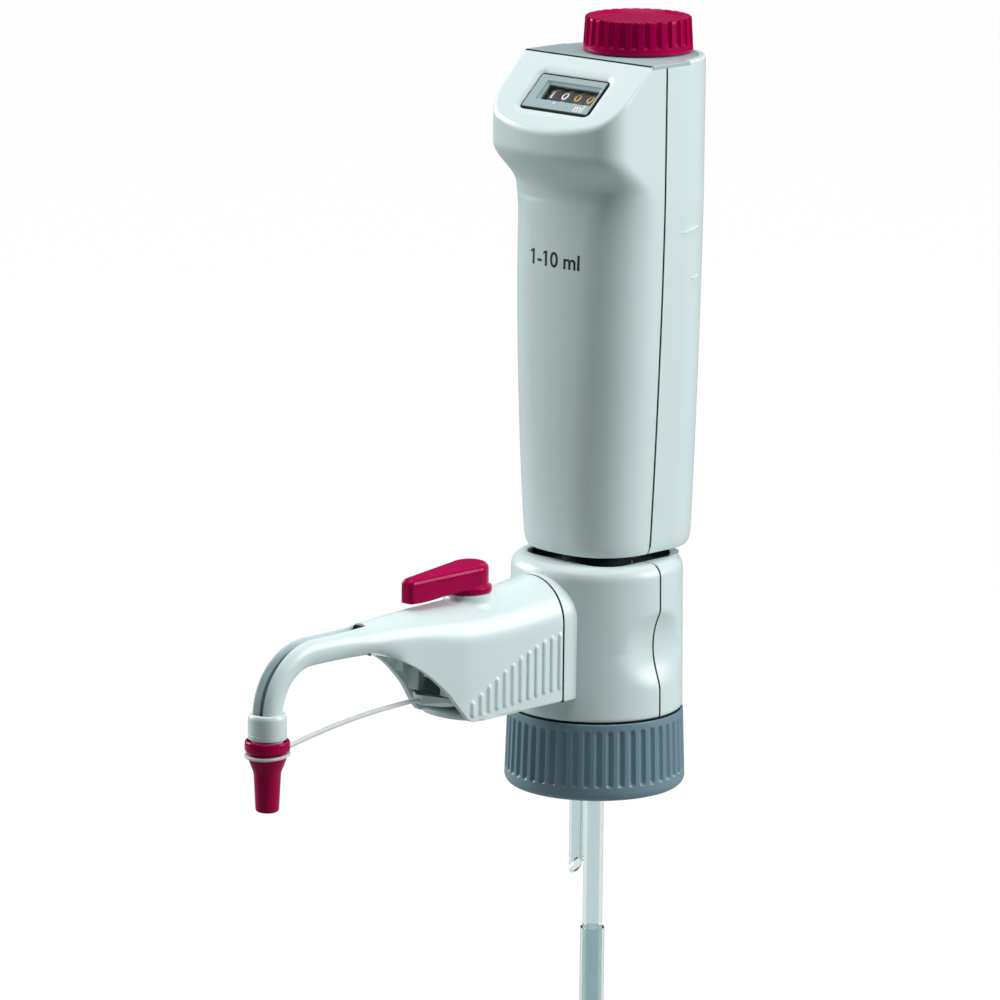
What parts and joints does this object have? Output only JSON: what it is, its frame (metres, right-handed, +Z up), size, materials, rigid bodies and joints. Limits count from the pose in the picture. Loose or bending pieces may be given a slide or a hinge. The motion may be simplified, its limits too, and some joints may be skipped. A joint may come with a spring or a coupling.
{
  "type": "bottle top dispenser",
  "caption": "Bottle top dispenser: sliding piston housing with a counter and volume knob on a swivelling valve block, side discharge arm, recirculation lever and capped nozzle.",
  "frame": {"origin": "on the axis of the bottle neck, at the threaded collar's lower rim", "axes": "+Z up the cylinder's axis, -Y along the discharge arm, +X to the right of someone facing the display"},
  "size_m": [0.0546, 0.1775, 0.3983],
  "materials": {
    "white_abs": "satin moulded ABS",
    "crimson_pbt": "glossy moulded",
    "blue_grey_pp": "fine matt",
    "light_grey_pp": "fine matt",
    "dark_grey_pp": "matt",
    "frame_grey": "satin",
    "natural_pp": "waxy",
    "ptfe": "waxy",
    "pfa_tube": "clear extruded fluoropolymer",
    "borosilicate": "clear drawn glass",
    "clear_pc": "clear moulded",
    "ceramic": "ground oxide ceramic",
    "steel": "ground",
    "black_pom": "moulded"
  },
  "bodies": {
    "collar": {"thread_collar": "blue_grey_pp", "rim_gasket": "ptfe"},
    "valve_block": {"retaining_ring": "natural_pp", "valve_core": "ptfe", "inlet_valve": "ptfe", "filling_tube_upper": "pfa_tube", "recirculation_tube": "pfa_tube", "valve_block_front": "white_abs", "valve_block_rear": "white_abs", "vent_plug": "dark_grey_pp", "recess_tray": "dark_grey_pp", "glass_cylinder": "borosilicate", "guide_sleeve": "natural_pp", "stop_bracket": "natural_pp", "arm_cover": "white_abs", "discharge_valve": "ptfe", "discharge_tube": "pfa_tube", "nozzle": "white_abs", "tether_holder": "white_abs", "cap_tether": "natural_pp"},
    "telescope": {"filling_tube_lower": "pfa_tube"},
    "inlet_check": {"inlet_ball": "ceramic"},
    "discharge_check": {"discharge_ball": "ceramic"},
    "plunger": {"housing_front": "white_abs", "housing_rear": "white_abs", "top_cover": "light_grey_pp", "lower_guide": "white_abs", "head_frame": "natural_pp", "counter_frame": "natural_pp", "counter_axle": "steel", "display_frame": "frame_grey", "display_window": "clear_pc", "piston_rod": "steel", "piston": "ceramic", "piston_seal": "ptfe", "rod_nut": "natural_pp"},
    "knob": {"volume_knob": "crimson_pbt", "adjust_spindle": "steel"},
    "carriage": {"stop_carriage": "dark_grey_pp"},
    "wheel_1": {"digit_wheel_1": "black_pom"},
    "wheel_2": {"digit_wheel_2": "black_pom"},
    "wheel_3": {"digit_wheel_3": "black_pom"},
    "wheel_4": {"digit_wheel_4": "black_pom"},
    "lever": {"recirculation_lever": "crimson_pbt", "valve_stem": "ptfe"},
    "cap_carrier": {"cap_ring": "natural_pp"},
    "cap": {"screw_cap": "crimson_pbt"}
  },
  "joints": [
    {"name": "block_swivel", "type": "hinge", "parent": "collar", "child": "valve_block", "pos_m": [0, 0, 0.04], "axis": [0, 0, 1], "continuous": true},
    {"name": "housing_lift", "type": "slide", "parent": "valve_block", "child": "plunger", "axis": [0, 0, 1], "range_m": [0, 0.075]},
    {"name": "volume_turn", "type": "hinge", "parent": "plunger", "child": "knob", "pos_m": [0, 0.0152, 0.227], "axis": [0, 0, 1], "range_deg": [-3240, 0]},
    {"name": "carriage_travel", "type": "slide", "parent": "plunger", "child": "carriage", "axis": [0, 0, 1], "range_m": [0, 0.0676]},
    {"name": "wheel_1_turn", "type": "hinge", "parent": "plunger", "child": "wheel_1", "pos_m": [0, -0.01069, 0.20559], "axis": [1, 0, 0], "range_deg": [0, 32.5]},
    {"name": "wheel_2_turn", "type": "hinge", "parent": "plunger", "child": "wheel_2", "pos_m": [0, -0.01069, 0.20559], "axis": [1, 0, 0], "range_deg": [0, 325]},
    {"name": "wheel_3_turn", "type": "hinge", "parent": "plunger", "child": "wheel_3", "pos_m": [0, -0.01069, 0.20559], "axis": [1, 0, 0], "range_deg": [0, 3245]},
    {"name": "wheel_4_turn", "type": "hinge", "parent": "plunger", "child": "wheel_4", "pos_m": [0, -0.01069, 0.20559], "axis": [1, 0, 0], "range_deg": [0, 32450]},
    {"name": "lever_turn", "type": "hinge", "parent": "valve_block", "child": "lever", "pos_m": [0, -0.056, 0.06], "axis": [0, 0, 1], "range_deg": [0, 90]},
    {"name": "tube_telescope", "type": "slide", "parent": "valve_block", "child": "telescope", "axis": [0, 0, -1], "range_m": [-0.02, 0.085]},
    {"name": "inlet_ball_lift", "type": "slide", "parent": "valve_block", "child": "inlet_check", "axis": [0, 0, 1], "range_m": [0, 0.0015]},
    {"name": "discharge_ball_lift", "type": "slide", "parent": "valve_block", "child": "discharge_check", "axis": [0, -1, 0], "range_m": [0, 0.0015]},
    {"name": "cap_drop", "type": "slide", "parent": "valve_block", "child": "cap_carrier", "axis": [0, 0, -1], "range_m": [0, 0.0061], "deforming": ["cap_tether"]},
    {"name": "cap_turn", "type": "hinge", "parent": "cap_carrier", "child": "cap", "pos_m": [0, -0.1387, 0.026], "axis": [0, 0, -1], "range_deg": [0, 720]}
  ],
  "couplings": [
    {"joint": "carriage_travel", "follows": "volume_turn", "m_per_rad": -0.0011937},
    {"joint": "wheel_1_turn", "follows": "volume_turn", "ratio": -0.01},
    {"joint": "wheel_2_turn", "follows": "volume_turn", "ratio": -0.1},
    {"joint": "wheel_3_turn", "follows": "volume_turn", "ratio": -1},
    {"joint": "wheel_4_turn", "follows": "volume_turn", "ratio": -10},
    {"joint": "cap_drop", "follows": "cap_turn", "m_per_rad": 0.00047746}
  ]
}
